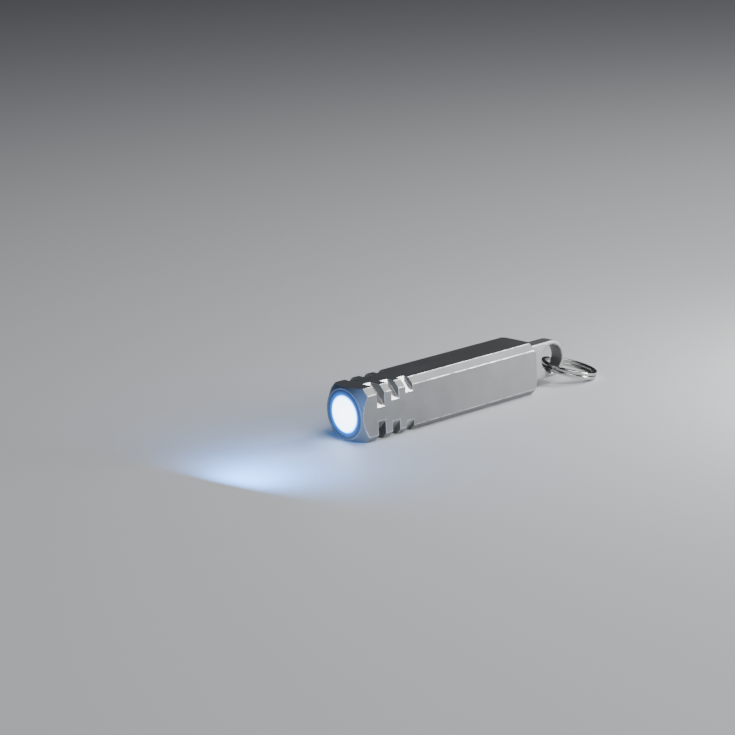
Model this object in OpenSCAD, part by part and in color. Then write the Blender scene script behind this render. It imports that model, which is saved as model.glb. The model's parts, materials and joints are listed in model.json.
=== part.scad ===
// Keychain flashlight: square aluminium housing, lit lens at the front, screw plug with a
// key-ring lug at the back, one AAA cell inside. Long axis along X, lens towards -X, the
// housing's lower flat on Z = 0 and its middle above the origin.

/* [Housing] */
// Width and height of the square bar
body_w = 14; // [13.8:0.1:14.6]
// Length of the square bar, nose to rear face
body_len = 60.5; // [60.5:0.5:64]
// Leg of the flat cut along each long edge
edge_cut = 1.75; // [1.3:0.05:2]
// Radius of the flat front face, where the turned nose begins
nose_r = 6.65; // [6.5:0.05:6.8]
// Radius that the turned rear edge leaves on the corners
rear_r = 8.1; // [7.6:0.05:8.4]

/* [Grip grooves] */
// How many grooves are cut across the corners
groove_count = 3; // [1:1:3]
// Distance from the nose to the first groove
groove_start = 5.1; // [4:0.1:6]
// Width of a groove
groove_w = 2.4; // [1.6:0.1:2.8]
// Distance from one groove to the next
groove_pitch = 4.7; // [4:0.1:5]
// Distance from the long axis to the flat floors of the first, deepest groove
groove_floor = 6.17; // [6.15:0.01:6.6]
// How much further out the floors of each next groove are
groove_step = 0.7; // [0.4:0.05:0.8]

/* [Tail lug] */
// Height of the lug
lug_h = 9.9; // [9.4:0.1:10.2]
// Thickness of the lug
lug_t = 4.2; // [3.6:0.1:4.4]
// Radius of the key-ring hole
lug_hole_r = 3.75; // [3.5:0.05:3.9]
// Distance from the housing's rear face to the middle of the hole
lug_reach = 10.7; // [10.2:0.1:11.5]

/* [Split ring] */
// Outer diameter of the split ring
ring_d = 15.5; // [14:0.5:16]
// Width of the ring's wire, measured along the ring's radius
wire_w = 1.2; // [1:0.05:1.3]
// Height of one turn of wire
wire_h = 0.95; // [0.9:0.05:1.15]

/* [Cell and thread] */
// Diameter of the cell with its sleeve
cell_d = 10.4; // [10:0.1:10.5]
// Length of the cell, terminal tip included
cell_len = 44.5; // [43.8:0.1:44.5]
// Pitch of the plug's thread
thread_pitch = 0.75; // [0.5:0.25:0.75]

/* [Hidden] */
$fn = 96;

half_w = body_w / 2;
axis_z = half_w;                       // the long axis stands half a width above the rest face
slack = 0.03;                          // gap between pieces that are seated in one another
run = 0.07;                            // radial gap between pieces that turn or slide

// stations along the housing, measured from the nose
front_bore_end = 3.6;
engine_bore_end = 8.4;
thread_len = 5.2;
head_len = 2.2;
mouth_start = body_len - head_len;
thread_start = mouth_start - thread_len;
cell_end = thread_start;
cell_start = cell_end - cell_len;

// radii of the housing's bores
front_bore_r = 6.18;
engine_bore_r = 5.75;
cell_bore_r = 5.5;
thread_bore_r = 5.78;
mouth_r = 6.05;
bezel_inner_r = 4.95;
lens_boss_r = 4.88;

// screw plug
plug_nose = thread_start + 0.35;       // free end of the plug, just behind the cell
plug_head_front = mouth_start + 0.06;
plug_rear = body_len - 0.05;
thread_r = thread_bore_r - run;
thread_depth = 0.42;
head_r = mouth_r - run;
seal_r = 0.45;                         // half the thickness of the plug's seal
seal_mid = body_len - 1.1;
seal_groove_w = 1.1;
pocket_r = 4.3;
pocket_end = mouth_start - 0.3;

// spring in the plug's pocket
spring_wire = 0.55;
spring_turns = 4;
spring_front = cell_end + slack;
washer_t = 0.3;
washer_front = pocket_end - washer_t - 0.06;
spring_back = washer_front - slack;

// split ring at rest: it stands on the floor at its back and passes through the lug's hole
ring_gap = 0.06;                       // between the two turns
ring_mid_r = ring_d / 2 - wire_w / 2;
ring_level = (wire_h + ring_gap) / 2;  // each turn's height above or below the middle
ring_dip = 14.6;                       // how far its back end hangs
ring_lean = 5;                         // how far it leans to the -Y side
ring_turned = -14;                     // how far it is turned to the -Y side
ring_cross_x = body_len + lug_reach - 0.1;
ring_joint_angle = 100;                // where the wire steps from turn to turn
ring_step_angle = 26;                  // how much of a turn the step takes
ring_floor_gap = 0.02;
wire_cut = 0.22;                       // leg of the cut on the wire's edges

// ---------------------------------------------------------------- helpers

// Puts children that stand along +Z on the long axis, x from the nose
module on_axis(x) translate([x - body_len / 2, 0, axis_z]) rotate([0, 90, 0]) children();

// Disc or tube on the long axis
module tube(x, len, outer, inner = 0) on_axis(x) difference() {
  cylinder(r = outer, h = len);
  if (inner > 0) translate([0, 0, -1]) cylinder(r = inner, h = len + 2);
}

// Ring of round section on the long axis
module o_ring(x, mid, r) on_axis(x) rotate_extrude() translate([mid, 0]) circle(r = r, $fn = 32);

// Closed tube through rings of points, each ring given as one list
module sweep(rings) {
  n = len(rings[0]);
  last = len(rings) - 1;
  walls = [for (i = [0 : last - 1], k = [0 : n - 1])
    [i * n + k, i * n + (k + 1) % n, (i + 1) * n + (k + 1) % n, (i + 1) * n + k]];
  caps = [[for (k = [n - 1 : -1 : 0]) k], [for (k = [0 : n - 1]) last * n + k]];
  polyhedron(points = [for (ring = rings, p = ring) p], faces = concat(walls, caps), convexity = 8);
}

// Rectangle with cut corners, for the split ring's wire
function wire_section(w, h, cut) = [
  [w / 2, -h / 2 + cut], [w / 2, h / 2 - cut], [w / 2 - cut, h / 2], [-w / 2 + cut, h / 2],
  [-w / 2, h / 2 - cut], [-w / 2, -h / 2 + cut], [-w / 2 + cut, -h / 2], [w / 2 - cut, -h / 2]];

function smooth(t) = let (u = min(1, max(0, t))) u * u * (3 - 2 * u);

// ---------------------------------------------------------------- housing and front end

// Octagon that the long edge cuts leave
module bar_section() {
  a = half_w;
  b = half_w - edge_cut;
  polygon([[a, b], [b, a], [-b, a], [-a, b], [-a, -b], [-b, -a], [b, -a], [a, -b]]);
}

// What turning leaves of the bar: coned nose and coned rear edge
module turned_envelope() {
  far = body_w;
  rotate_extrude() polygon([[0, 0], [nose_r, 0], [far, far - nose_r],
    [far, body_len - far + rear_r], [rear_r, body_len], [0, body_len]]);
}

// Grooves milled across the four long edges, their floors parallel to the edge cuts
module corner_grooves() for (i = [0 : groove_count - 1])
  translate([0, 0, groove_start + i * groove_pitch]) linear_extrude(groove_w) difference() {
    square(2 * body_w, center = true);
    rotate(45) square(2 * (groove_floor + i * groove_step), center = true);
  }

module housing() color([0.62, 0.64, 0.66]) on_axis(0) difference() {
  intersection() {
    linear_extrude(body_len) bar_section();
    turned_envelope();
  }
  corner_grooves();
  translate([0, 0, -1]) cylinder(r = front_bore_r, h = 1 + front_bore_end);
  translate([0, 0, 1]) cylinder(r = engine_bore_r, h = engine_bore_end - 1);
  translate([0, 0, 2]) cylinder(r = cell_bore_r, h = body_len - 3);
  translate([0, 0, thread_start]) cylinder(r = thread_bore_r, h = body_len);
  translate([0, 0, mouth_start]) cylinder(r = mouth_r, h = body_len);
}

module bezel_ring() color([0.55, 0.58, 0.62]) on_axis(0) rotate_extrude()
  polygon([[bezel_inner_r + 0.1, 0.02], [front_bore_r - 0.12, 0.02], [front_bore_r - slack, 0.14],
           [front_bore_r - slack, 1.6], [bezel_inner_r, 1.6], [bezel_inner_r, 0.12]]);

// Lens: a slightly domed boss that fills the ring's opening and stands just proud of it, on a
// plain rim
lens_front = -0.15;
lens_rise = 0.25;
lens_curve = (pow(lens_boss_r, 2) + pow(lens_rise, 2)) / (2 * lens_rise);
lens_rim_front = 1.65;
module lens() color([0.8, 0.92, 1, 0.5]) on_axis(0) rotate_extrude() union() {
  translate([0, lens_rim_front]) square([5.3, 1.1]);
  intersection() {
    translate([0, lens_front + lens_curve]) circle(r = lens_curve, $fn = 720);
    translate([0, -1]) square([lens_boss_r, lens_rim_front + 1.5]);
  }
}

module lens_seal() color([0.08, 0.08, 0.09]) o_ring(2.2, 5.73, 0.4);

// Dished bowl: its wall is the stretch between two parabolas
reflector_steps = 10;
function bowl(t, wide, narrow) = narrow + (wide - narrow) * sqrt(t);
module reflector() color([0.9, 0.92, 0.94]) on_axis(0) rotate_extrude() {
  front = 2.8;
  back = 5.5;
  inner = [for (i = [0 : reflector_steps]) let (t = i / reflector_steps)
    [bowl(t, 4.9, 2.3), back - (back - front) * t]];
  polygon(concat(inner, [[6.1, front], [6.1, front + 0.5], [5.55, front + 0.5], [3.4, back]]));
}

module led_dome() color([0.75, 0.85, 1, 0.6]) on_axis(4.85)
  rotate([180, 0, 0]) intersection() {
    sphere(r = 1.3);
    cylinder(r = 2, h = 2);
  }

module led_package() color([0.93, 0.93, 0.9]) on_axis(4.86)
  translate([-1.5, -1.5, 0]) cube([3, 3, 0.76]);

module led_board() color([0.92, 0.93, 0.94]) tube(5.65, 0.8, engine_bore_r - 0.1);

lead_place = 3.7;
module led_leads() color([0.75, 0.2, 0.16]) for (side = [-1, 1])
  on_axis(6.48) translate([0, side * lead_place, 0]) cylinder(r = 0.3, h = 1.0, $fn = 24);

// ---------------------------------------------------------------- driver

module driver_cup() color([0.8, 0.65, 0.35]) tube(6.48, 1.86, engine_bore_r - slack, 5.3);
module driver_board() color([0.1, 0.36, 0.22]) tube(7.52, 0.6, 5.25);

module driver_coil() color([0.22, 0.22, 0.24]) on_axis(6.6)
  translate([-1.9, -1.5, 0]) cube([2.6, 3, 0.9]);

// One control chip and two small capacitors
chip_places = [[2.2, 0.2, 1.6, 1.6], [1.9, -2.9, 0.8, 1.4], [1.9, 2.2, 0.8, 1.4]];
module driver_chips() color([0.12, 0.12, 0.13]) for (c = chip_places)
  on_axis(6.85) translate([c[0], c[1] - c[3] / 2 + 0.35, 0]) cube([c[2], c[3], 0.65]);

module positive_contact() color([0.86, 0.7, 0.4]) tube(8.15, cell_start - slack - 8.15, 1.7);
module contact_spacer() color([0.15, 0.15, 0.16]) tube(8.15, 0.24, 4.4, 2.3);

// ---------------------------------------------------------------- cell

nub_r = 1.9;
nub_len = 1;
can_r = cell_d / 2 - 0.09;
can_wall = 0.25;
can_inside_r = can_r - can_wall;
fill_start = nub_len + can_wall + slack;
fill_end = cell_len - 4.8;
cathode_inner_r = 3.25;
anode_r = cathode_inner_r - 0.25;
pin_r = 0.55;
base_t = 0.35;

// Deep-drawn can, closed in front where the terminal tip is pressed out of it
module cell_can() color([0.7, 0.71, 0.72]) on_axis(cell_start) rotate_extrude()
  polygon([[0, 0], [nub_r, 0], [nub_r, nub_len], [can_r, nub_len], [can_r, cell_len - base_t],
           [can_inside_r, cell_len - base_t], [can_inside_r, nub_len + can_wall],
           [nub_r - can_wall, nub_len + can_wall], [nub_r - can_wall, can_wall], [0, can_wall]]);

module cell_cathode() color([0.12, 0.12, 0.13])
  tube(cell_start + fill_start, fill_end - fill_start, can_inside_r - slack, cathode_inner_r);

// Paper cup between cathode and anode
module cell_separator() color([0.85, 0.84, 0.8]) on_axis(cell_start) rotate_extrude()
  polygon([[0, fill_start], [cathode_inner_r - slack, fill_start], [cathode_inner_r - slack, fill_end],
           [anode_r + slack, fill_end], [anode_r + slack, fill_start + 0.2], [0, fill_start + 0.2]]);

module cell_anode() color([0.45, 0.47, 0.5])
  tube(cell_start + fill_start + 0.25, fill_end - fill_start - 1.2, anode_r, pin_r + slack);

// Nail whose head is welded to the base
module cell_pin() color([0.8, 0.65, 0.3]) on_axis(cell_start) union() {
  translate([0, 0, cell_len / 4]) cylinder(r = pin_r, h = 0.75 * cell_len - base_t - slack);
  translate([0, 0, cell_len - base_t - slack - 0.3]) cylinder(r = 1.5, h = 0.3);
}

// Moulded seal: a disc round the nail and a rim that the can is rolled onto
module cell_gasket() color([0.2, 0.25, 0.3]) on_axis(cell_start) rotate_extrude()
  polygon([[pin_r + slack, fill_end + 1], [can_inside_r - slack, fill_end + 1],
           [can_inside_r - slack, cell_len - 0.6], [4.3, cell_len - 0.6], [4.3, fill_end + 1.6],
           [1.4, fill_end + 1.6], [1.4, fill_end + 3], [pin_r + slack, fill_end + 3]]);

module cell_base() color([0.75, 0.76, 0.77]) tube(cell_end - base_t, base_t, can_r - 0.5);
module cell_sleeve() color([0.16, 0.3, 0.5])
  tube(cell_start + nub_len + 0.1, cell_len - nub_len - 0.2, cell_d / 2, can_r + 0.01);
module cell_liner() color([0.85, 0.83, 0.78])
  tube(cell_start + 1.6, cell_len - 2, cell_bore_r - slack, cell_bore_r - 0.2);

// ---------------------------------------------------------------- spring and plug

// Cone-shaped coil whose two end turns lie flat
module tail_spring() color([0.78, 0.76, 0.7]) on_axis(0) {
  steps = 22 * spring_turns;
  low = spring_front + spring_wire / 2;
  high = spring_back - spring_wire / 2;
  sweep([for (i = [0 : steps]) let (
      t = i / steps,
      a = 360 * spring_turns * t,
      mid = 2.2 + 1.6 * t,
      x = low + (high - low) * smooth((t - 0.05) / 0.9))
    [for (k = [0 : 7]) let (b = -45 * k, r = mid + spring_wire / 2 * cos(b))
      [r * cos(a), r * sin(a), x + spring_wire / 2 * sin(b)]]]);
}

module spring_washer() color([0.84, 0.68, 0.38]) tube(washer_front, washer_t, pocket_r - run, 1.2);

// Plug turned with a thread and a seal groove, then the lug milled on its head
thread_turns = floor((mouth_start - 0.15 - plug_nose) / thread_pitch);
module plug_turning() rotate_extrude() {
  crest = thread_r;
  root = thread_r - thread_depth;
  ridges = [for (i = [0 : thread_turns - 1]) let (x = plug_nose + 0.1 + i * thread_pitch) each
    [[root, x], [crest, x + thread_pitch * 0.4], [crest, x + thread_pitch * 0.55],
     [root, x + thread_pitch * 0.95]]];
  difference() {
    polygon(concat([[0, pocket_end], [pocket_r, pocket_end], [pocket_r, plug_nose], [root, plug_nose]],
                   ridges,
                   [[root, plug_head_front], [head_r, plug_head_front], [head_r, plug_rear],
                    [0, plug_rear]]));
    translate([head_r - 2 * seal_r, seal_mid - seal_groove_w / 2]) square([2, seal_groove_w]);
  }
}

module tail_plug() color([0.7, 0.72, 0.73]) on_axis(0) difference() {
  union() {
    plug_turning();
    translate([-lug_h / 2, -lug_t / 2, plug_rear - 0.5]) cube([lug_h, lug_t, lug_reach + 0.55]);
    translate([0, lug_t / 2, body_len + lug_reach]) rotate([90, 0, 0])
      cylinder(r = lug_h / 2, h = lug_t);
  }
  translate([0, lug_t, body_len + lug_reach]) rotate([90, 0, 0])
    cylinder(r = lug_hole_r, h = 2 * lug_t);
}

module plug_seal() color([0.08, 0.08, 0.09]) o_ring(seal_mid, head_r - seal_r - 0.02, seal_r - 0.02);

// ---------------------------------------------------------------- split ring

// Two turns of wire that step from the lower to the upper level once, with free ends
// beside the step
module ring_wire() {
  free = ring_step_angle / 2 + 4;
  steps = 128;
  section = wire_section(wire_w, wire_h, wire_cut);
  sweep([for (i = [0 : steps]) let (
      a = free + (720 - 2 * free) * i / steps,
      level = ring_level * (2 * smooth((a - 360) / ring_step_angle + 0.5) - 1))
    [for (p = section) [(ring_mid_r + p[0]) * cos(a), (ring_mid_r + p[0]) * sin(a), level + p[1]]]]);
}

// Height of the ring's middle that leaves its lowest point just above the floor
ring_slope = acos(cos(ring_dip) * cos(ring_lean));
ring_mid_z = ring_floor_gap + (ring_d / 2 - wire_cut) * sin(ring_slope)
  + (ring_level + wire_h / 2) * cos(ring_slope);
ring_cross_z = ring_mid_z + ring_mid_r * sin(ring_dip);

module split_ring() color([0.78, 0.79, 0.8])
  translate([ring_cross_x - body_len / 2, 0, ring_cross_z]) rotate([0, 0, ring_turned])
    rotate([ring_lean, ring_dip, 0]) translate([ring_mid_r, 0, 0])
      rotate([0, 0, ring_joint_angle]) ring_wire();

// ---------------------------------------------------------------- nodes

housing();
bezel_ring();
lens();
lens_seal();
reflector();
led_dome();
led_package();
led_board();
led_leads();
driver_cup();
driver_coil();
driver_chips();
driver_board();
positive_contact();
contact_spacer();
cell_can();
cell_cathode();
cell_separator();
cell_anode();
cell_pin();
cell_gasket();
cell_base();
cell_sleeve();
cell_liner();
tail_spring();
spring_washer();
tail_plug();
plug_seal();
split_ring();
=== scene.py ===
# Keychain flashlight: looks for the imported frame, in metres, long axis along X, lens towards -X.
import json
import math

import bmesh
import bpy
import numpy as np
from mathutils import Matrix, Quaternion, Vector

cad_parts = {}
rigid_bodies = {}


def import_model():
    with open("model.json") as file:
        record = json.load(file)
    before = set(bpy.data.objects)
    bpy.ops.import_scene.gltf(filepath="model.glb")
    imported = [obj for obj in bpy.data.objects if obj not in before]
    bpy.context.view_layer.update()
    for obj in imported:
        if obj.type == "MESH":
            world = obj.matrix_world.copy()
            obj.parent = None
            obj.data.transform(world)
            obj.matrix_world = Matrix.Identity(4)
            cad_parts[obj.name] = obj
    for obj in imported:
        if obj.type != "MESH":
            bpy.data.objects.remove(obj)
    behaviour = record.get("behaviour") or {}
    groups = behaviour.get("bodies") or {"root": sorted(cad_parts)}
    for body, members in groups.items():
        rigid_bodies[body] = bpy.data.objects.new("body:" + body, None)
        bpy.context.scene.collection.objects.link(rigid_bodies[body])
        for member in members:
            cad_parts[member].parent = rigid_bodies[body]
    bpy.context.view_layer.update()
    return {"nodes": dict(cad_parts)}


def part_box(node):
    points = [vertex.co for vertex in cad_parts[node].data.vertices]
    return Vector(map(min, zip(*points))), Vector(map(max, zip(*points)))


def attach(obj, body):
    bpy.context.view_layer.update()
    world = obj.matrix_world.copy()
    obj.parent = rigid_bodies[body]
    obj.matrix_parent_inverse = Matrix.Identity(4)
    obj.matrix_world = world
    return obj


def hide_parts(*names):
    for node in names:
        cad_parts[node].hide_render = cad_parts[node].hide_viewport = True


for leftover in list(bpy.data.objects):
    bpy.data.objects.remove(leftover)
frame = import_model()
MM = 0.001


# ---------------------------------------------------------------- housing
# Square aluminium bar, coned on a lathe, bored through, grooved with a milling cutter across its
# long edges, bead-blasted and clear anodised. Everything else sits in it. Its broken edges are
# rounded here on a merged copy of the CAD solid.

class Shade:
    """One shader socket. Arithmetic on it adds Math nodes, and add() adds any other node."""

    def __init__(self, tree, socket=None):
        self.tree = tree
        self.socket = socket

    def add(self, kind, inputs, output=0, stops=(), **settings):
        """A new node: its settings first, then a number, a colour or a Shade for each input."""
        node = self.tree.nodes.new("ShaderNode" + kind)
        for name, value in settings.items():
            setattr(node, name, value)
        for place, (position, colour) in enumerate(stops):
            marks = node.color_ramp.elements
            mark = marks[place] if place < 2 else marks.new(position)
            mark.position = position
            mark.color = (*colour, 1)
        for name, value in inputs.items():
            if isinstance(value, Shade):
                self.tree.links.new(value.socket, node.inputs[name])
            else:
                node.inputs[name].default_value = value
        return Shade(self.tree, node.outputs[output])

    def maths(self, operation, second=0.0):
        return self.add("Math", {0: self, 1: second}, operation=operation)

    def __add__(self, other):
        return self.maths("ADD", other)

    def __sub__(self, other):
        return self.maths("SUBTRACT", other)

    def __mul__(self, other):
        return self.maths("MULTIPLY", other)

    def __truediv__(self, other):
        return self.maths("DIVIDE", other)

    def __rsub__(self, other):
        return self.add("Math", {0: other, 1: self}, operation="SUBTRACT")

    def __abs__(self):
        return self.maths("ABSOLUTE")

    __radd__ = __add__
    __rmul__ = __mul__

    def least(self, other):
        return self.maths("MINIMUM", other)

    def most(self, other):
        return self.maths("MAXIMUM", other)

    def rise(self, low, high):
        """0 below low, 1 above high, and a smooth step between."""
        ends = {"Value": self, "From Min": low, "From Max": high}
        return self.add("MapRange", ends, interpolation_type="SMOOTHSTEP")

    def mix(self, low, high):
        """The colour low where this is 0 and high where it is 1."""
        return self.add("Mix", {0: self, 6: low, 7: high}, output=2, data_type="RGBA")


class Finish:
    """A material with one Principled shader. Constants go straight onto its sockets, and
    place holds Object coordinates in millimetres."""

    def __init__(self, name, **constants):
        self.material = bpy.data.materials.new(name)
        self.material.use_nodes = True
        tree = self.material.node_tree
        self.shader = tree.nodes["Principled BSDF"]
        for socket, value in constants.items():
            self.shader.inputs[socket.replace("_", " ")].default_value = value
        self.root = Shade(tree)
        object_place = self.root.add("TexCoord", {}, output="Object")
        self.place = self.root.add("VectorMath", {0: object_place, 3: 1 / MM}, operation="SCALE")
        split = {0: self.place}
        self.x, self.y, self.z = (self.root.add("SeparateXYZ", split, output=k) for k in range(3))

    def feed(self, **links):
        for socket, shade in links.items():
            self.root.tree.links.new(shade.socket, self.shader.inputs[socket.replace("_", " ")])

    def noise(self, size, detail=2.0, stretch=(1, 1, 1)):
        """Noise from 0 to 1 whose blotches are about size mm wide, longer along a stretched axis."""
        where = self.root.add("VectorMath", {0: self.place, 1: [1 / s for s in stretch]},
                              operation="MULTIPLY")
        wants = {"Vector": where, "Scale": 1 / size, "Detail": detail, "Roughness": 0.55}
        return self.root.add("TexNoise", wants)

    def relief(self, height, depth):
        """Bumps the surface by height times depth, depth in mm."""
        self.feed(Normal=self.root.add("Bump", {"Height": height, "Distance": depth * MM}))


def dress(piece, finish):
    """Gives a piece one finish and no other."""
    piece.data.materials.clear()
    piece.data.materials.append(finish.material)


def fix(piece, finish, body, slot, *nodes):
    """Gives a new piece its finish and its body, and hides the CAD nodes it stands for. slot is not
    used.
    """
    dress(piece, finish)
    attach(piece, body)
    if nodes:
        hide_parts(*nodes)
    return piece


def new_piece(name, mesh):
    """An object in the scene, at the origin, that shows mesh."""
    piece = bpy.data.objects.new(name, mesh)
    bpy.context.scene.collection.objects.link(piece)
    return piece


eased_from = math.radians(9)           # edges that turn by more than this are rounded


def eased_copy(node, name, radius):
    """A merged copy of a CAD node whose sharp edges are rolled over by radius, in mm."""
    mesh = frame["nodes"][node].data.copy()
    solid = bmesh.new()
    solid.from_mesh(mesh)
    bmesh.ops.remove_doubles(solid, verts=solid.verts, dist=0.0005 * MM)
    bmesh.ops.dissolve_limit(solid, angle_limit=math.radians(0.05), verts=solid.verts,
                             edges=solid.edges)
    solid.to_mesh(mesh)
    solid.free()
    mesh.shade_smooth()
    mesh.set_sharp_from_angle(angle=eased_from)
    piece = new_piece(name, mesh)
    ease = piece.modifiers.new("ease", "BEVEL")
    ease.width = radius * MM
    ease.segments = 3
    ease.angle_limit = eased_from
    ease.harden_normals = True
    ease.use_clamp_overlap = True
    return piece


half_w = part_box("housing")[1].y / MM
axis_z = half_w
nose_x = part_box("housing")[0].x / MM
rear_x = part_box("housing")[1].x / MM
bar_len = rear_x - nose_x
edge_cut = 1.75
nose_r = 6.65
groove_starts = [nose_x + 5.1 + 4.7 * k for k in range(3)]
groove_floors = [6.17 + 0.7 * k for k in range(3)]
groove_w = 2.4


def blasted(name, pale, dark, edge, cut=None):
    """Blasted and clear anodised aluminium: fine grain, faint clouding, and edges painted bright, part
    rubbed wear and part painted highlight. edge(finish) is the distance to the nearest edge in mm, and
    cut(finish) is 1 where the bare tool cut shows, painted bright as a highlight too."""
    finish = Finish(name, Metallic=1.0)
    patchy = finish.noise(1.6, 3)
    # painted bright edges: part rubbed wear, part painted highlight along the edges
    wear_and_highlight = (1 - edge(finish).rise(0.06, 0.22)) * patchy.rise(0.25, 0.65)
    clouds = finish.noise(9, 2)
    grain = finish.noise(0.11, 2)
    colour = (clouds * 0.6 + grain * 0.4).rise(0.2, 0.8).mix(dark, pale)
    bright = wear_and_highlight * 0.7
    rough = 0.43 + grain * 0.1 + finish.noise(3, 3, (4, 1, 1)) * 0.06 - wear_and_highlight * 0.18
    # groove floors painted brighter and smoother: part bare tool cut, part painted highlight
    if cut:
        bare_cut_and_highlight = cut(finish)
        bright = bright.most(bare_cut_and_highlight)
        rough = rough - bare_cut_and_highlight * 0.14
    finish.feed(Base_Color=bright.mix(colour, (0.93, 0.935, 0.94, 1)), Roughness=rough)
    finish.relief(grain + finish.noise(0.35, 2) * 0.5, 0.003)
    return finish


def off_axis(finish):
    """How far a point is across, how far up or down, and how far from the long axis, in mm."""
    across = abs(finish.y)
    upward = abs(finish.z - axis_z)
    return across, upward, (across * across + upward * upward).maths("SQRT")


def housing_edge(finish):
    """Distance to the long edges, to the line where the cone starts, and to the grooves' edges."""
    across, upward, radius = off_axis(finish)
    high = across.most(upward)
    low = across.least(upward)
    behind_face = half_w - high
    edge = abs(low - (half_w - edge_cut)).most(behind_face)
    edge = edge.least(abs(finish.x - nose_x - (radius - nose_r)).most(behind_face))
    for start, floor in zip(groove_starts, groove_floors):
        wall = abs(finish.x - start).least(abs(finish.x - start - groove_w))
        edge = edge.least(wall.most(behind_face).most(floor - (low + high) * math.sqrt(0.5)))
    return edge


def groove_floor_cut_and_highlight(finish):
    """1 on the flat floors of the grooves, which are painted bright: part the cutter's bare metal,
    part a painted highlight.
    """
    across, upward, _ = off_axis(finish)
    slanted = (across + upward) * math.sqrt(0.5)
    floors = finish.x * 0
    for start, floor in zip(groove_starts, groove_floors):
        inside = 1 - abs(finish.x - start - groove_w / 2).rise(groove_w / 2, groove_w / 2 + 0.04)
        floors = floors.most(inside * (1 - abs(slanted - floor).rise(0.02, 0.09)))
    return floors


housing_finish = blasted("blasted_housing", (0.31, 0.316, 0.32, 1), (0.235, 0.24, 0.245, 1),
                         housing_edge, groove_floor_cut_and_highlight)
fix(eased_copy("housing", "housing_shell", 0.16), housing_finish, "light", "body", "housing")


# ---------------------------------------------------------------- bezel ring
# Turned aluminium ring pressed into the nose. It holds the lens down on its seal. Its flat face has a
# painted blue glow, brightest beside the lens, that stands in for the lens's light falling on it.

fillet_steps = 5                       # points on one rounded corner


def filleted(corners, radius, steps=fillet_steps):
    """A closed outline whose corners are arcs of the given radius, less where sides are short."""
    corners = np.asarray(corners, float)
    back = np.roll(corners, 1, 0) - corners
    ahead = np.roll(corners, -1, 0) - corners
    back_len = np.linalg.norm(back, axis=1)
    ahead_len = np.linalg.norm(ahead, axis=1)
    back /= back_len[:, None]
    ahead /= ahead_len[:, None]
    half = np.arccos(np.clip((back * ahead).sum(1), -1, 1)) / 2
    reach = np.minimum(radius / np.tan(half), 0.45 * np.minimum(back_len, ahead_len))
    t = np.linspace(0, 1, steps)[None, :, None]
    start = (corners + back * reach[:, None])[:, None]
    stop = (corners + ahead * reach[:, None])[:, None]
    middle = corners[:, None]
    arcs = start * (1 - t) ** 2 + 2 * middle * t * (1 - t) + stop * t ** 2
    return arcs.reshape(-1, 2)


def grid_piece(name, points, wrap_rows=True):
    """A smooth piece from a grid of points whose columns close on themselves. Rows close too
    unless each end row is one point. Doubled points are merged and faces turned outwards."""
    rows, columns = points.shape[:2]
    steps = rows if wrap_rows else rows - 1
    row, column = np.meshgrid(np.arange(steps), np.arange(columns), indexing="ij")
    ahead, across = (row + 1) % rows, (column + 1) % columns
    quads = np.stack([row * columns + column, row * columns + across,
                      ahead * columns + across, ahead * columns + column], -1).reshape(-1, 4)
    mesh = bpy.data.meshes.new(name)
    mesh.from_pydata((points.reshape(-1, 3) * MM).tolist(), [], quads.tolist())
    skin = bmesh.new()
    skin.from_mesh(mesh)
    bmesh.ops.remove_doubles(skin, verts=skin.verts, dist=0.0002 * MM)
    bmesh.ops.recalc_face_normals(skin, faces=skin.faces)
    skin.to_mesh(mesh)
    skin.free()
    mesh.shade_smooth()
    mesh.set_sharp_from_angle(angle=math.radians(40))
    return new_piece(name, mesh)


def spun(name, x, r, columns=128, wrap_rows=True, across=0.0):
    """Rows of x behind the nose and radius r carried round the long axis, or round a parallel
    axis that lies across from it. r may also differ from column to column."""
    turn = np.linspace(0, 2 * np.pi, columns, endpoint=False)[None, :]
    x = np.reshape(x, (len(x), -1)) + nose_x + 0 * turn
    r = np.reshape(r, (len(r), -1))
    points = np.stack([x, r * np.cos(turn) + across, r * np.sin(turn) + axis_z], -1)
    return grid_piece(name, points, wrap_rows)


def turned(name, corners, fillet, columns=128, across=0.0):
    """A piece turned from the corners of its section, (x behind the nose, radius) in mm. Corners
    off the axis are rounded, and a section that starts and ends on the axis closes there."""
    corners = np.asarray(corners, float)
    clear = corners[:, 1] > 0
    profile = filleted(corners, fillet * clear)
    return spun(name, profile[:, 0], profile[:, 1], columns, bool(clear.all()), across)


def extent(node):
    """Where a turned CAD node starts and stops behind the nose, and its outer radius, in mm."""
    low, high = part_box(node)
    return low.x / MM - nose_x, high.x / MM - nose_x, high.y / MM


def machined(name, colour, roughness, line_size=0.06, depth=0.002, **constants):
    """Turned metal: rings of fine tool marks round the long axis, and slight clouding."""
    finish = Finish(name, Metallic=1.0, **constants)
    marks = finish.root.add("CombineXYZ", {0: finish.x, 1: off_axis(finish)[2]})
    lines = finish.root.add("TexNoise", {"Vector": marks, "Scale": 1 / line_size, "Detail": 2.0})
    clouds = finish.noise(2.5, 3)
    shade = [c * 0.82 for c in colour[:3]] + [1]
    finish.feed(Base_Color=(clouds * 0.6 + lines * 0.4).rise(0.25, 0.75).mix(shade, colour),
                Roughness=roughness + lines * 0.08 + clouds * 0.06)
    finish.relief(lines, depth)
    return finish


lens_opening_r = 4.95
bezel_front, bezel_back, bezel_r = extent("bezel_ring")
bezel_finish = machined("turned_bezel_painted_glow", (0.12, 0.13, 0.15, 1), 0.3, Emission_Strength=1.0)
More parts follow.
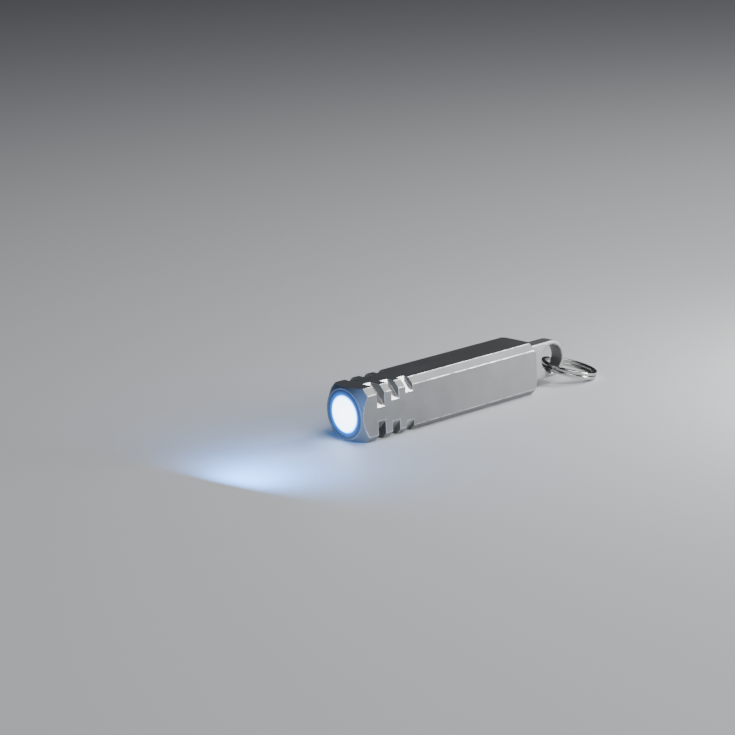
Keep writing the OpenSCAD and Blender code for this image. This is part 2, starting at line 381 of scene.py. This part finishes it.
# painted glow: blue emission, brightest beside the lens, in place of the lens's light on the face
bezel_painted_lens_light = off_axis(bezel_finish)[2].rise(lens_opening_r - 0.2, bezel_r)
bezel_finish.feed(Emission_Color=bezel_painted_lens_light.mix((0.01, 0.26, 1.0, 1), (0.0, 0.012, 0.11, 1)))
fix(turned("bezel_turned", [(bezel_front, lens_opening_r), (bezel_front, bezel_r - 0.03),
                            (bezel_front + 0.1, bezel_r), (bezel_back, bezel_r),
                            (bezel_back, lens_opening_r)], 0.07, 160),
    bezel_finish, "light", "bezel", "bezel_ring")


# ---------------------------------------------------------------- lens and its seal
# Clear polycarbonate lens with a slightly domed boss. The diode's light through it is a painted glow
# in its emission and base colour: white across most of it and blue at its rim. A black O-ring behind
# its flange keeps water out.

lens_boss_r = 4.88
lens_rise = 0.25
lens_rim_x = 1.65
lens_front, lens_back, lens_rim_r = extent("lens")
lens_curve = (lens_boss_r ** 2 + lens_rise ** 2) / (2 * lens_rise)
dome_r = np.linspace(0, lens_boss_r - 0.3, 12)
dome = np.stack([lens_front + lens_curve - np.sqrt(lens_curve ** 2 - dome_r ** 2), dome_r], 1)
lens_corners = np.vstack([dome, [(lens_front + lens_rise, lens_boss_r), (lens_rim_x, lens_boss_r),
                                 (lens_rim_x, lens_rim_r), (lens_back, lens_rim_r), (lens_back, 0)]])
lens_fillets = np.append(np.zeros(len(dome)), [0.15, 0.05, 0.1, 0.1, 0])

lens_finish = Finish("painted_glow_lens", Roughness=0.06, IOR=1.58, Coat_Roughness=0.03, Coat_Weight=1.0,
                     Emission_Strength=6.0)
# painted glow: emission and base colour white in the middle, blue at the rim
across_lens = off_axis(lens_finish)[2] / lens_boss_r
lens_painted_glow = across_lens.add(
    "ValToRGB", {0: across_lens},
    stops=[(0.0, (1.0, 1.0, 1.0)), (1.0, (0.0, 0.06, 0.5)), (0.88, (0.8, 0.95, 1.0)),
           (0.95, (0.12, 0.5, 1.0))])
lens_finish.feed(Emission_Color=lens_painted_glow, Base_Color=lens_painted_glow)
fix(turned("lens_moulded", lens_corners, lens_fillets), lens_finish, "light", "lens", "lens")


def moulded(name, shades, roughness, size=2.0, grain=0.12, depth=0.002, **constants):
    """Moulded, pressed or painted stuff with soft clouds over a fine grain. shades is its pale
    and its dark colour, or None where the colour is fed afterwards."""
    finish = Finish(name, **constants)
    clouds = finish.noise(size, 3)
    fine = finish.noise(grain, 2)
    if shades:
        pale, dark = shades
        finish.feed(Base_Color=(clouds * 0.65 + fine * 0.35).rise(0.25, 0.75).mix(dark, pale))
    finish.feed(Roughness=roughness + fine * 0.1 + clouds * 0.08 - 0.09)
    finish.relief(fine, depth)
    return finish


def o_ring(name, node):
    """A round section with a low flash line on its outer and inner side, carried round."""
    start, stop, outer = extent(node)
    thick = (stop - start) / 2
    turn = np.linspace(0, 2 * np.pi, 48, endpoint=False)
    flash = 1 - 0.03 * (1 - np.exp(-(np.sin(turn) / 0.07) ** 2))
    return spun(name, (start + stop) / 2 + thick * flash * np.sin(turn),
                outer - thick + thick * flash * np.cos(turn), 160)


rubber = moulded("black_rubber", [(0.03, 0.03, 0.032, 1), (0.015, 0.015, 0.016, 1)], 0.5,
                 depth=0.005)
fix(o_ring("lens_oring", "lens_seal"), rubber, "light", "seal", "lens_seal")


# ---------------------------------------------------------------- reflector
# Moulded plastic bowl with a mirror coat of vaporised aluminium. Its flange is clamped
# between the lens seal and the housing's step.

flange_x, bowl_back, flange_r = extent("reflector")
flange_back = flange_x + 0.5
bowl_narrow_r = 2.3
bowl_wide_r = 4.9
bowl_t = np.linspace(0, 1, 25)
bowl_r = bowl_narrow_r + (bowl_wide_r - bowl_narrow_r) * np.sqrt(bowl_t)
bowl_inner = np.stack([bowl_back - (bowl_back - flange_x) * bowl_t, bowl_r], 1)
bowl_outer = [(flange_x, flange_r), (flange_back, flange_r), (flange_back, 5.55), (bowl_back, 3.4)]
bowl_fillets = np.append(np.zeros(len(bowl_inner)), [0.06, 0.06, 0.1, 0.1])
mirror = machined("mirror_coat", (0.93, 0.94, 0.95, 1), 0.05, line_size=0.4, depth=0.0005)
fix(turned("reflector_bowl", np.vstack([bowl_inner, bowl_outer]), bowl_fillets, 160), mirror,
    "light", "mirror", "reflector")


# ---------------------------------------------------------------- light-emitting diode
# White ceramic package with a yellow phosphor square under a clear silicone dome, soldered to
# a round metal-core board with a white mask. Two short insulated leads join the board to the
# driver behind it.

_, dome_back, silicone_r = extent("led_dome")
dome_turn = np.linspace(0, np.pi / 2, 17)
silicone = Finish("clear_silicone", IOR=1.41, Roughness=0.08, Coat_Weight=0.6, Emission_Strength=3.0)
silicone_glow = silicone.noise(0.4, 2).mix((0.8, 0.92, 1.0, 1), (1.0, 1.0, 0.95, 1))
silicone.feed(Emission_Color=silicone_glow, Base_Color=silicone_glow)
dome_rows = np.vstack([np.stack([dome_back - silicone_r * np.cos(dome_turn),
                                 silicone_r * np.sin(dome_turn)], 1), [(dome_back, 0)]])
fix(turned("led_silicone", dome_rows, 0.0, 96), silicone, "light", "led_dome", "led_dome")

ceramic = moulded("white_ceramic", None, 0.45, 0.6)
phosphor_half = 0.95
from_middle = abs(ceramic.y).most(abs(ceramic.z - axis_z))
phosphor_edge = from_middle.rise(phosphor_half - 0.04, phosphor_half)
phosphor_grain = ceramic.noise(0.08, 2).mix((0.85, 0.66, 0.1, 1), (0.95, 0.8, 0.22, 1))
ceramic.feed(Base_Color=phosphor_edge.mix(phosphor_grain, (0.83, 0.82, 0.77, 1)))
fix(eased_copy("led_package", "led_ceramic", 0.08), ceramic, "light", "led_package", "led_package")


def tube_piece(name, node, inner_r=0.0, fillet=0.04, columns=128):
    """A turned tube, or a disc where inner_r is 0, as long and as wide as its CAD node."""
    start, stop, outer = extent(node)
    section = [(start, inner_r), (start, outer), (stop, outer), (stop, inner_r)]
    return turned(name, section, fillet, columns)


lead_front, lead_back, lead_reach = extent("led_leads")
lead_r = 0.3
lead_y = lead_reach - lead_r
white_mask = moulded("white_solder_mask", None, 0.35, 1.2)
beside_pads = abs(off_axis(white_mask)[2] - lead_y).rise(0.45, 0.5)
above_pads = abs(white_mask.z - axis_z).rise(0.6, 0.65)
pad_ring = (1 - beside_pads) * (1 - above_pads)
white_mask.feed(Base_Color=pad_ring.mix((0.86, 0.87, 0.88, 1), (0.8, 0.72, 0.5, 1)),
                Metallic=pad_ring)
fix(tube_piece("led_board_disc", "led_board", fillet=0.08), white_mask, "light", "white_board",
    "led_board")

lead_red = moulded("red_insulation", [(0.62, 0.05, 0.04, 1), (0.45, 0.03, 0.025, 1)], 0.35, 0.5)
for side, name in [(-1, "lead_near"), (1, "lead_far")]:
    fix(turned(name, [(lead_front, 0), (lead_front, lead_r), (lead_front + 0.14, lead_r * 0.72),
                      (lead_front + 0.2, lead_r), (lead_back - 0.12, lead_r),
                      (lead_back, lead_r * 0.6), (lead_back, 0)], 0.05, 32, side * lead_y),
        lead_red, "light", "lead", "led_leads")


# ---------------------------------------------------------------- driver
# Step-up driver: a drawn brass cup pressed in behind the diode's board, a round green board
# soldered across it, with a choke and three small parts on it, and a gold-plated button
# that the cell's tip touches through a nylon ring.

brass = machined("drawn_brass", (0.72, 0.52, 0.22, 1), 0.28)
fix(tube_piece("driver_cup_drawn", "driver_cup", 5.3, 0.08), brass, "light", "brass", "driver_cup")

green_mask = moulded("green_solder_mask", None, 0.3, 1.5)
track_noise = green_mask.noise(1.1, 0, (1, 1, 0.3))
track = 1 - abs(track_noise - 0.5).rise(0.03, 0.05)
pad_spots = (1 - abs(off_axis(green_mask)[2] - 4.75).rise(0.2, 0.25)).most(
    1 - off_axis(green_mask)[2].rise(1.9, 1.95))
copper_under = track.mix((0.018, 0.13, 0.06, 1), (0.05, 0.27, 0.12, 1))
green_mask.feed(Base_Color=pad_spots.mix(copper_under, (0.8, 0.6, 0.25, 1)), Metallic=pad_spots)
fix(tube_piece("driver_board_disc", "driver_board", fillet=0.06), green_mask, "light",
    "green_board", "driver_board")

ferrite = moulded("pressed_ferrite", [(0.1, 0.1, 0.11, 1), (0.05, 0.05, 0.055, 1)], 0.6, 0.8,
                  0.08, 0.006)
fix(eased_copy("driver_coil", "choke_block", 0.25), ferrite, "light", "ferrite", "driver_coil")

epoxy = moulded("chip_epoxy", None, 0.45, 0.5)
parts_y = 0.35
capacitor_reach = 2.55
beside_chip = abs(epoxy.y - parts_y)
end_cap = abs(beside_chip - capacitor_reach).rise(0.38, 0.42)
epoxy_cloud = epoxy.noise(0.5, 3).mix((0.03, 0.03, 0.032, 1), (0.055, 0.055, 0.057, 1))
ceramic_tan = epoxy.noise(0.3, 2).mix((0.42, 0.3, 0.18, 1), (0.5, 0.37, 0.23, 1))
is_chip = 1 - beside_chip.rise(1.2, 1.3)
tin = (1 - is_chip) * end_cap
epoxy.feed(Base_Color=tin.mix(is_chip.mix(ceramic_tan, epoxy_cloud), (0.75, 0.75, 0.74, 1)),
           Metallic=tin)
fix(eased_copy("driver_chips", "driver_parts", 0.06), epoxy, "light", "chip", "driver_chips")

gold = machined("gold_plate", (0.95, 0.72, 0.33, 1), 0.2)
fix(tube_piece("contact_button", "positive_contact", fillet=0.2, columns=64), gold, "light", "gold",
    "positive_contact")

nylon = moulded("black_nylon", [(0.06, 0.06, 0.062, 1), (0.035, 0.035, 0.037, 1)], 0.5)
fix(tube_piece("contact_ring", "contact_spacer", 2.3, 0.06), nylon, "light", "black_plastic",
    "contact_spacer")


# ---------------------------------------------------------------- cell
# One AAA alkaline cell, built up as a battery maker does: a drawn can with the tip pressed out
# of it, a pressed black cathode, a paper cup, zinc paste, a brass nail welded to the base, and
# a moulded seal. A plain shrink sleeve covers it, with a lighter band at the tip end.

can_front, can_back, can_r = extent("cell_can")
can_wall = 0.25
tip_r = 1.9
tip_len = 1.0
can_in_r = can_r - can_wall
can_outline = [(can_front, 0), (can_front, tip_r), (can_front + tip_len, tip_r),
               (can_front + tip_len, can_r), (can_back, can_r), (can_back, can_in_r),
               (can_front + tip_len + can_wall, can_in_r),
               (can_front + tip_len + can_wall, tip_r - can_wall),
               (can_front + can_wall, tip_r - can_wall), (can_front + can_wall, 0)]
steel = machined("drawn_steel", (0.68, 0.68, 0.68, 1), 0.3)
fix(turned("cell_can_drawn", can_outline, 0.14), steel, "light", "steel", "cell_can")

cathode_mix = moulded("pressed_cathode", [(0.06, 0.06, 0.062, 1), (0.02, 0.02, 0.021, 1)], 0.75,
                      0.6, 0.1, 0.02)
fix(tube_piece("cathode_rings", "cell_cathode", 3.25, 0.1), cathode_mix, "light", "cathode_mix",
    "cell_cathode")

cup_start, cup_stop, paper_r = extent("cell_separator")
paper_wall = 0.19
paper_floor = 0.2
paper = moulded("wet_paper", [(0.82, 0.8, 0.74, 1), (0.7, 0.68, 0.62, 1)], 0.85, 0.8, 0.15, 0.015)
fix(turned("paper_cup", [(cup_start, 0), (cup_start, paper_r), (cup_stop, paper_r),
                         (cup_stop, paper_r - paper_wall),
                         (cup_start + paper_floor, paper_r - paper_wall),
                         (cup_start + paper_floor, 0)], 0.04),
    paper, "light", "separator", "cell_separator")

nail_r = 0.55
nail_hole_r = nail_r + 0.03
zinc = moulded("zinc_paste", [(0.42, 0.44, 0.47, 1), (0.22, 0.23, 0.25, 1)], 0.55, 0.5, 0.16, 0.03,
               Metallic=0.4)
fix(tube_piece("zinc_fill", "cell_anode", nail_hole_r, 0.15), zinc, "light", "zinc_gel",
    "cell_anode")

nail_front, nail_back, nail_head_r = extent("cell_pin")
nail_head = nail_back - 0.3
fix(turned("brass_nail", [(nail_front, 0), (nail_front + 0.8, nail_r), (nail_head, nail_r),
                          (nail_head, nail_head_r), (nail_back, nail_head_r), (nail_back, 0)],
           0.08, 48), brass, "light", "brass", "cell_pin")

seal_front, seal_back, seal_r = extent("cell_gasket")
seal_rim_r = 4.3
seal_boss_r = 1.4
seal_disc = seal_front + 0.6
seal_boss = seal_front + 2
gasket_outline = [(seal_front, nail_hole_r), (seal_front, seal_r), (seal_back, seal_r),
                  (seal_back, seal_rim_r), (seal_disc, seal_rim_r), (seal_disc, seal_boss_r),
                  (seal_boss, seal_boss_r), (seal_boss, nail_hole_r)]
gasket_nylon = moulded("grey_nylon", [(0.2, 0.25, 0.31, 1), (0.14, 0.18, 0.23, 1)], 0.42)
fix(turned("cell_seal", gasket_outline, 0.08), gasket_nylon, "light", "gasket", "cell_gasket")

base_front, base_back, base_r = extent("cell_base")
dish_r = 3.1
dish_depth = 0.12
base_outline = [(base_front, 0), (base_front, base_r), (base_back, base_r), (base_back, dish_r),
                (base_back - dish_depth, dish_r - 0.2), (base_back - dish_depth, 0)]
nickel = machined("nickel_plate", (0.76, 0.74, 0.7, 1), 0.2)
fix(turned("cell_base_cap", base_outline, 0.06), nickel, "light", "nickel", "cell_base")

film = moulded("shrink_film", None, 0.25, 3.0, 0.3, Coat_Weight=0.5, Coat_Roughness=0.1)
band_edge = nose_x + extent("cell_sleeve")[0] + 11
band = (film.x - band_edge).rise(-0.05, 0.05)
film_shade = film.noise(3.0, 3).mix((0.04, 0.11, 0.26, 1), (0.06, 0.15, 0.33, 1))
film.feed(Base_Color=band.mix((0.62, 0.63, 0.66, 1), film_shade))
fix(tube_piece("cell_film", "cell_sleeve", can_r + 0.01), film, "light", "sleeve", "cell_sleeve")

liner_film = moulded("polyester_film", [(0.72, 0.7, 0.64, 1), (0.62, 0.6, 0.54, 1)], 0.4, 4.0)
fix(tube_piece("bore_liner", "cell_liner", 5.3), liner_film, "light", "liner", "cell_liner")


# ---------------------------------------------------------------- tail spring
# Cone-shaped coil of nickel-plated music wire with a flat turn at each end. It presses the
# cell forward and carries its current to a brass washer, pressed into the plug's pocket.

spring_front, spring_back, _ = extent("tail_spring")
coil_wire = 0.55
coil_turns = 4
coil_front_r = 2.2
coil_widening = 1.6


def tipped(distance_left, reach):
    """How full a wire is near its end: 0 at the end, round, and 1 from reach onwards."""
    return np.sqrt(1 - (1 - np.clip(distance_left / reach, 0, 1)) ** 2)


def smooth_step(t):
    t = np.clip(t, 0, 1)
    return t * t * (3 - 2 * t)


def coil_points():
    """A round section carried along a helix that widens evenly backwards and rises by a smooth
    step, with flat turns at both ends and rounded wire ends."""
    t = np.linspace(0, 1, 260)
    angle = 2 * np.pi * coil_turns * t
    low, high = spring_front + coil_wire / 2, spring_back - coil_wire / 2
    x = low + (high - low) * smooth_step((t - 0.05) / 0.9)
    middle = coil_front_r + coil_widening * t
    around = np.linspace(0, 2 * np.pi, 12, endpoint=False)[None, :]
    left = np.minimum(t, 1 - t) * 2 * np.pi * coil_turns * 3
    full = tipped(left, coil_wire / 2)[:, None] * coil_wire / 2
    out = middle[:, None] + full * np.cos(around)
    return np.stack([x[:, None] + full * np.sin(around) + nose_x, out * np.cos(angle)[:, None],
                     out * np.sin(angle)[:, None] + axis_z], -1)


coil_finish = Finish("spring_wire", Metallic=1.0)
drawn_lines = coil_finish.noise(0.12, 3)
coil_finish.feed(Base_Color=drawn_lines.mix((0.6, 0.58, 0.54, 1), (0.78, 0.76, 0.71, 1)),
                 Roughness=0.2 + drawn_lines * 0.15)
coil_finish.relief(drawn_lines, 0.003)
fix(grid_piece("tail_coil", coil_points(), wrap_rows=False), coil_finish, "spring", "spring",
    "tail_spring")
fix(tube_piece("pocket_washer", "spring_washer", 1.2), brass, "spring", "brass", "spring_washer")


# ---------------------------------------------------------------- screw plug
# Aluminium plug turned with a right-hand thread and a groove for its O-ring. A lug with a
# key-ring hole is milled on its head and its edges are rounded. The housing's own thread
# meets it crest to root.

plug_front = extent("tail_plug")[0]
thread_start = bar_len - 7.4
mouth_start = bar_len - 2.2
play = 0.07                            # gap between pieces that turn in one another
thread_pitch = 0.75
thread_depth = 0.42
thread_bore_r = 5.78
thread_root = thread_bore_r - play - thread_depth
plug_rear = bar_len - 0.05
head_front = mouth_start + 0.06
head_r = 6.05 - play
oring_middle = bar_len - 1.1
oring_front, oring_back = oring_middle - 0.55, oring_middle + 0.55
oring_floor = head_r - 0.9
pocket_r = 4.3
pocket_end = mouth_start - 0.3
lug_h = 9.9
lug_t = 4.2
lug_hole_r = 3.75
hole_x = bar_len + 10.7
lug_fillet = 0.45


def thread_height(x, turn, shift=0.0):
    """A right-hand thread's height from 0 to 1: a blunt triangle wave of x over the pitch less
    the turn over 360 degrees."""
    phase = (x / thread_pitch - turn / (2 * np.pi) + shift) % 1
    return np.clip(1.3 * (1 - abs(2 * phase - 1)) - 0.15, 0, 1)


def run_out(x, reach=0.45):
    """1 along the thread and a smooth fall to 0 over reach at both of its ends."""
    return smooth_step((x - x[0]) / reach) * smooth_step((x[-1] - x) / reach)


turn_columns = np.linspace(0, 2 * np.pi, 160, endpoint=False)[None, :]
front_corners = [(pocket_end, 0), (pocket_end, pocket_r), (plug_front, pocket_r),
                 (plug_front, thread_root)]
back_corners = [(head_front, thread_root), (head_front, head_r), (oring_front, head_r),
                (oring_front, oring_floor), (oring_back, oring_floor), (oring_back, head_r),
                (plug_rear, head_r), (plug_rear, 0)]
plug_corners = np.array(front_corners + back_corners)
plug_rows = filleted(plug_corners, 0.1 * (plug_corners[:, 1] > 0))
thread_x = np.linspace(plug_front + 0.12, head_front - 0.12, 100)[:, None]
thread_r = thread_root + thread_depth * thread_height(thread_x, turn_columns) * run_out(thread_x)
cut_row = fillet_steps * len(front_corners)
plug_x = np.concatenate([plug_rows[:cut_row, :1], thread_x, plug_rows[cut_row:, :1]])
plug_r = np.concatenate([plug_rows[:cut_row, 1:] + 0 * turn_columns, thread_r,
                         plug_rows[cut_row:, 1:] + 0 * turn_columns])


def plug_edge(finish):
    """Distance to the lug's outline, to its hole's rim and to the head's rim, in mm."""
    along = finish.x - (nose_x + hole_x)
    upward = abs(finish.z - axis_z)
    from_hole = (along * along + upward * upward).maths("SQRT")
    behind = along.rise(-0.01, 0.01)
    outline = behind * (lug_h / 2 - from_hole) + (1 - behind) * (lug_h / 2 - upward)
    rims = abs(outline).least(abs(from_hole - lug_hole_r))
    head = abs(off_axis(finish)[2] - head_r).most(abs(finish.x - nose_x - plug_rear))
    return rims.most(abs(lug_t / 2 - abs(finish.y))).least(head)


# the lug's and head's rims get the same painted bright edges: part rubbed wear, part painted highlight
plug_finish = blasted("blasted_plug", (0.44, 0.445, 0.45, 1), (0.35, 0.355, 0.36, 1), plug_edge)
fix(spun("plug_turned", plug_x, plug_r, 160, wrap_rows=False), plug_finish, "plug", "plug",
    "tail_plug")


def lug_points():
    """A rounded rectangle of the lug's thickness, run round the hole: its inner side follows the
    hole, and its outer side a half circle and the straight sides that lead into the head."""
    lug_start = hole_x - plug_rear + 0.45
    corner = math.atan2(lug_h / 2, -lug_start)
    even = np.linspace(0, 2 * np.pi, 200, endpoint=False)
    angle = np.sort(np.append(even, [corner, -corner + 2 * np.pi]))
    towards_head = np.cos(angle) < 0
    ahead = np.maximum(-np.cos(angle), 1e-6)
    steep = np.where(towards_head, np.abs(np.sin(angle)), 1)
    to_side = np.minimum(lug_h / 2 / np.maximum(steep, 1e-6), lug_start / ahead)
    reach = np.where(towards_head, to_side, lug_h / 2)
    wide = 10                          # stand-in for the section's width, kept clear of its arcs
    side = np.array([(0, -1), (0, 1), (wide, 1), (wide, -1)]) * (1, lug_t / 2)
    profile = filleted(side, lug_fillet, 7)
    inner = profile[:, :1] < wide / 2
    slant = np.maximum(steep, 0.35)
    radius = np.where(inner, lug_hole_r + profile[:, :1], reach + (profile[:, :1] - wide) / slant)
    return np.stack([radius * np.cos(angle) + hole_x + nose_x, profile[:, 1:] + 0 * angle,
                     radius * np.sin(angle) + axis_z], -1)


fix(grid_piece("plug_lug", lug_points()), plug_finish, "plug", "plug", "tail_plug")
fix(o_ring("plug_oring", "plug_seal"), rubber, "plug", "seal", "plug_seal")

bore_thread_x = np.linspace(thread_start + 0.05, mouth_start - 0.05, 90)[:, None]
bore_crest = 0.34 * thread_height(bore_thread_x, turn_columns, 0.5) * run_out(bore_thread_x)
bore_thread_r = thread_bore_r + 0.01 - bore_crest
bore_x = np.concatenate([bore_thread_x, bore_thread_x[[-1, 0]]])
bore_rows = np.concatenate([bore_thread_r, 0 * bore_thread_r[:2] + thread_bore_r + 0.06])
cut_thread = machined("cut_thread", (0.66, 0.67, 0.68, 1), 0.3)
fix(spun("housing_thread", bore_x, bore_rows, 160), cut_thread, "light", "body")


# ---------------------------------------------------------------- split ring
# Two turns of nickel-plated spring steel wire, pressed flat against each other. It hangs in
# the lug's hole and its back end lies on the floor.

ring_r = 7.15
wire_w = 1.2
wire_h = 0.95
turn_gap = 0.06
floor_gap = 0.02
wire_cut = 0.22                        # leg of the cut on the CAD wire's edges
ring_dip = math.radians(14.6)
ring_lean = math.radians(5)
ring_turned = math.radians(-14)
ring_joint = math.radians(100)
step_angle = math.radians(26)
free_angle = step_angle / 2 + math.radians(4)


def turn_about(axis, angle):
    """The 3 by 3 matrix that turns a point by angle about X (0), Y (1) or Z (2)."""
    one, two = [(1, 2), (2, 0), (0, 1)][axis]
    matrix = np.eye(3)
    matrix[one, one] = matrix[two, two] = math.cos(angle)
    matrix[one, two] = -math.sin(angle)
    matrix[two, one] = math.sin(angle)
    return matrix


def ring_points():
    """A rounded-rectangle section carried twice round, stepping from the lower to the upper
    level by a smooth step, and drawn in to a rounded tip at each free end."""
    angle = np.linspace(free_angle, 4 * np.pi - free_angle, 300)
    past = (angle - 2 * np.pi) / step_angle + 0.5
    level = (wire_h + turn_gap) / 2 * (2 * smooth_step(past) - 1)
    corners = np.array([(1, -1), (1, 1), (-1, 1), (-1, -1)]) * (wire_w / 2, wire_h / 2)
    section = filleted(corners, 0.32, 6)
    arc_left = np.minimum(angle - angle[0], angle[-1] - angle) * ring_r
    tip = tipped(arc_left, 0.3)[:, None]
    out = ring_r + section[None, :, 0] * tip
    points = np.stack([out * np.cos(angle)[:, None], out * np.sin(angle)[:, None],
                       level[:, None] + section[None, :, 1] * tip], -1)
    slope = math.acos(math.cos(ring_dip) * math.cos(ring_lean))
    middle_z = (floor_gap + (ring_r + wire_w / 2 - wire_cut) * math.sin(slope)
                + (wire_h + turn_gap / 2) * math.cos(slope))
    points = points @ turn_about(2, ring_joint).T + (ring_r, 0, 0)
    tilt = turn_about(2, ring_turned) @ turn_about(1, ring_dip) @ turn_about(0, ring_lean)
    cross = (nose_x + hole_x - 0.1, 0, middle_z + ring_r * math.sin(ring_dip))
    return points @ tilt.T + cross


ring_finish = Finish("nickel_ring", Metallic=1.0)
ring_scuffs = ring_finish.noise(0.5, 4, (1, 1, 0.35))
ring_clouds = ring_finish.noise(2.2, 2)
ring_finish.feed(Base_Color=ring_clouds.mix((0.5, 0.495, 0.48, 1), (0.62, 0.615, 0.6, 1)),
                 Roughness=0.13 + ring_scuffs.rise(0.45, 0.75) * 0.14)
ring_finish.relief(ring_scuffs, 0.004)
fix(grid_piece("ring_wire", ring_points(), wrap_rows=False), ring_finish, "ring", "ring", "split_ring")


# ---------------------------------------------------------------- floor, light and camera
# A pale floor under a dim sky, three soft lamps, a weak blue lamp for the start of the beam, and
# the camera low in front of the lens.

floor_half = 3.0
floor_mesh = bpy.data.meshes.new("floor")
floor_mesh.from_pydata([(-floor_half, -floor_half, 0), (floor_half, -floor_half, 0),
                        (floor_half, floor_half, 0), (-floor_half, floor_half, 0)], [], [(0, 1, 2, 3)])
floor = new_piece("floor", floor_mesh)
floor_finish = Finish("floor_paper", Roughness=0.6, Base_Color=(0.72, 0.73, 0.74, 1))
dress(floor, floor_finish)


def soft_lamp(name, place, aim, size, power, colour=(1, 1, 1)):
    """A square lamp size m wide that shines from place towards aim and isn't seen itself."""
    lamp = bpy.data.lights.new(name, "AREA")
    lamp.size = size
    lamp.energy = power
    lamp.color = colour
    holder = bpy.data.objects.new(name, lamp)
    holder.location = place
    holder.visible_camera = False
    holder.rotation_euler = (Vector(aim) - Vector(place)).to_track_quat("-Z", "Y").to_euler()
    bpy.context.scene.collection.objects.link(holder)


soft_lamp("overhead", (0.37, -0.15, 0.45), (0, 0, 0), 0.2, 1.5)
soft_lamp("side", (0.14, -0.12, 0.055), (0.02, 0, 0.005), 0.05, 0.3)
soft_lamp("room", (-0.2, -1.0, 1.2), (0, 0, 0), 0.9, 13, (0.95, 0.975, 1))
soft_lamp("beam_haze", (-0.07, -0.006, 0.013), (-0.03, 0, 0.007), 0.014, 0.035,
          (0.1, 0.35, 1))

world = bpy.data.worlds.new("studio")
world.use_nodes = True
sky = world.node_tree.nodes["Background"]
sky.inputs["Color"].default_value = (0.32, 0.34, 0.37, 1)
sky.inputs["Strength"].default_value = 0.12
bpy.context.scene.world = world

aim = Vector((-0.01263, 0.01095, 0.01357))
distance = 0.564
azimuth, elevation, roll = (math.radians(a) for a in (-40.1, 14.44, -3.09))
back = Vector((math.sin(azimuth) * math.cos(elevation), -math.cos(azimuth) * math.cos(elevation),
               math.sin(elevation)))
camera_data = bpy.data.cameras.new("camera")
camera_data.lens = 108.0
camera_data.sensor_width = 36.0
camera = bpy.data.objects.new("camera", camera_data)
camera.location = aim + back * distance
camera.rotation_mode = "QUATERNION"
camera.rotation_quaternion = Quaternion(back, roll) @ (-back).to_track_quat("-Z", "Y")
bpy.context.scene.collection.objects.link(camera)
bpy.context.scene.camera = camera
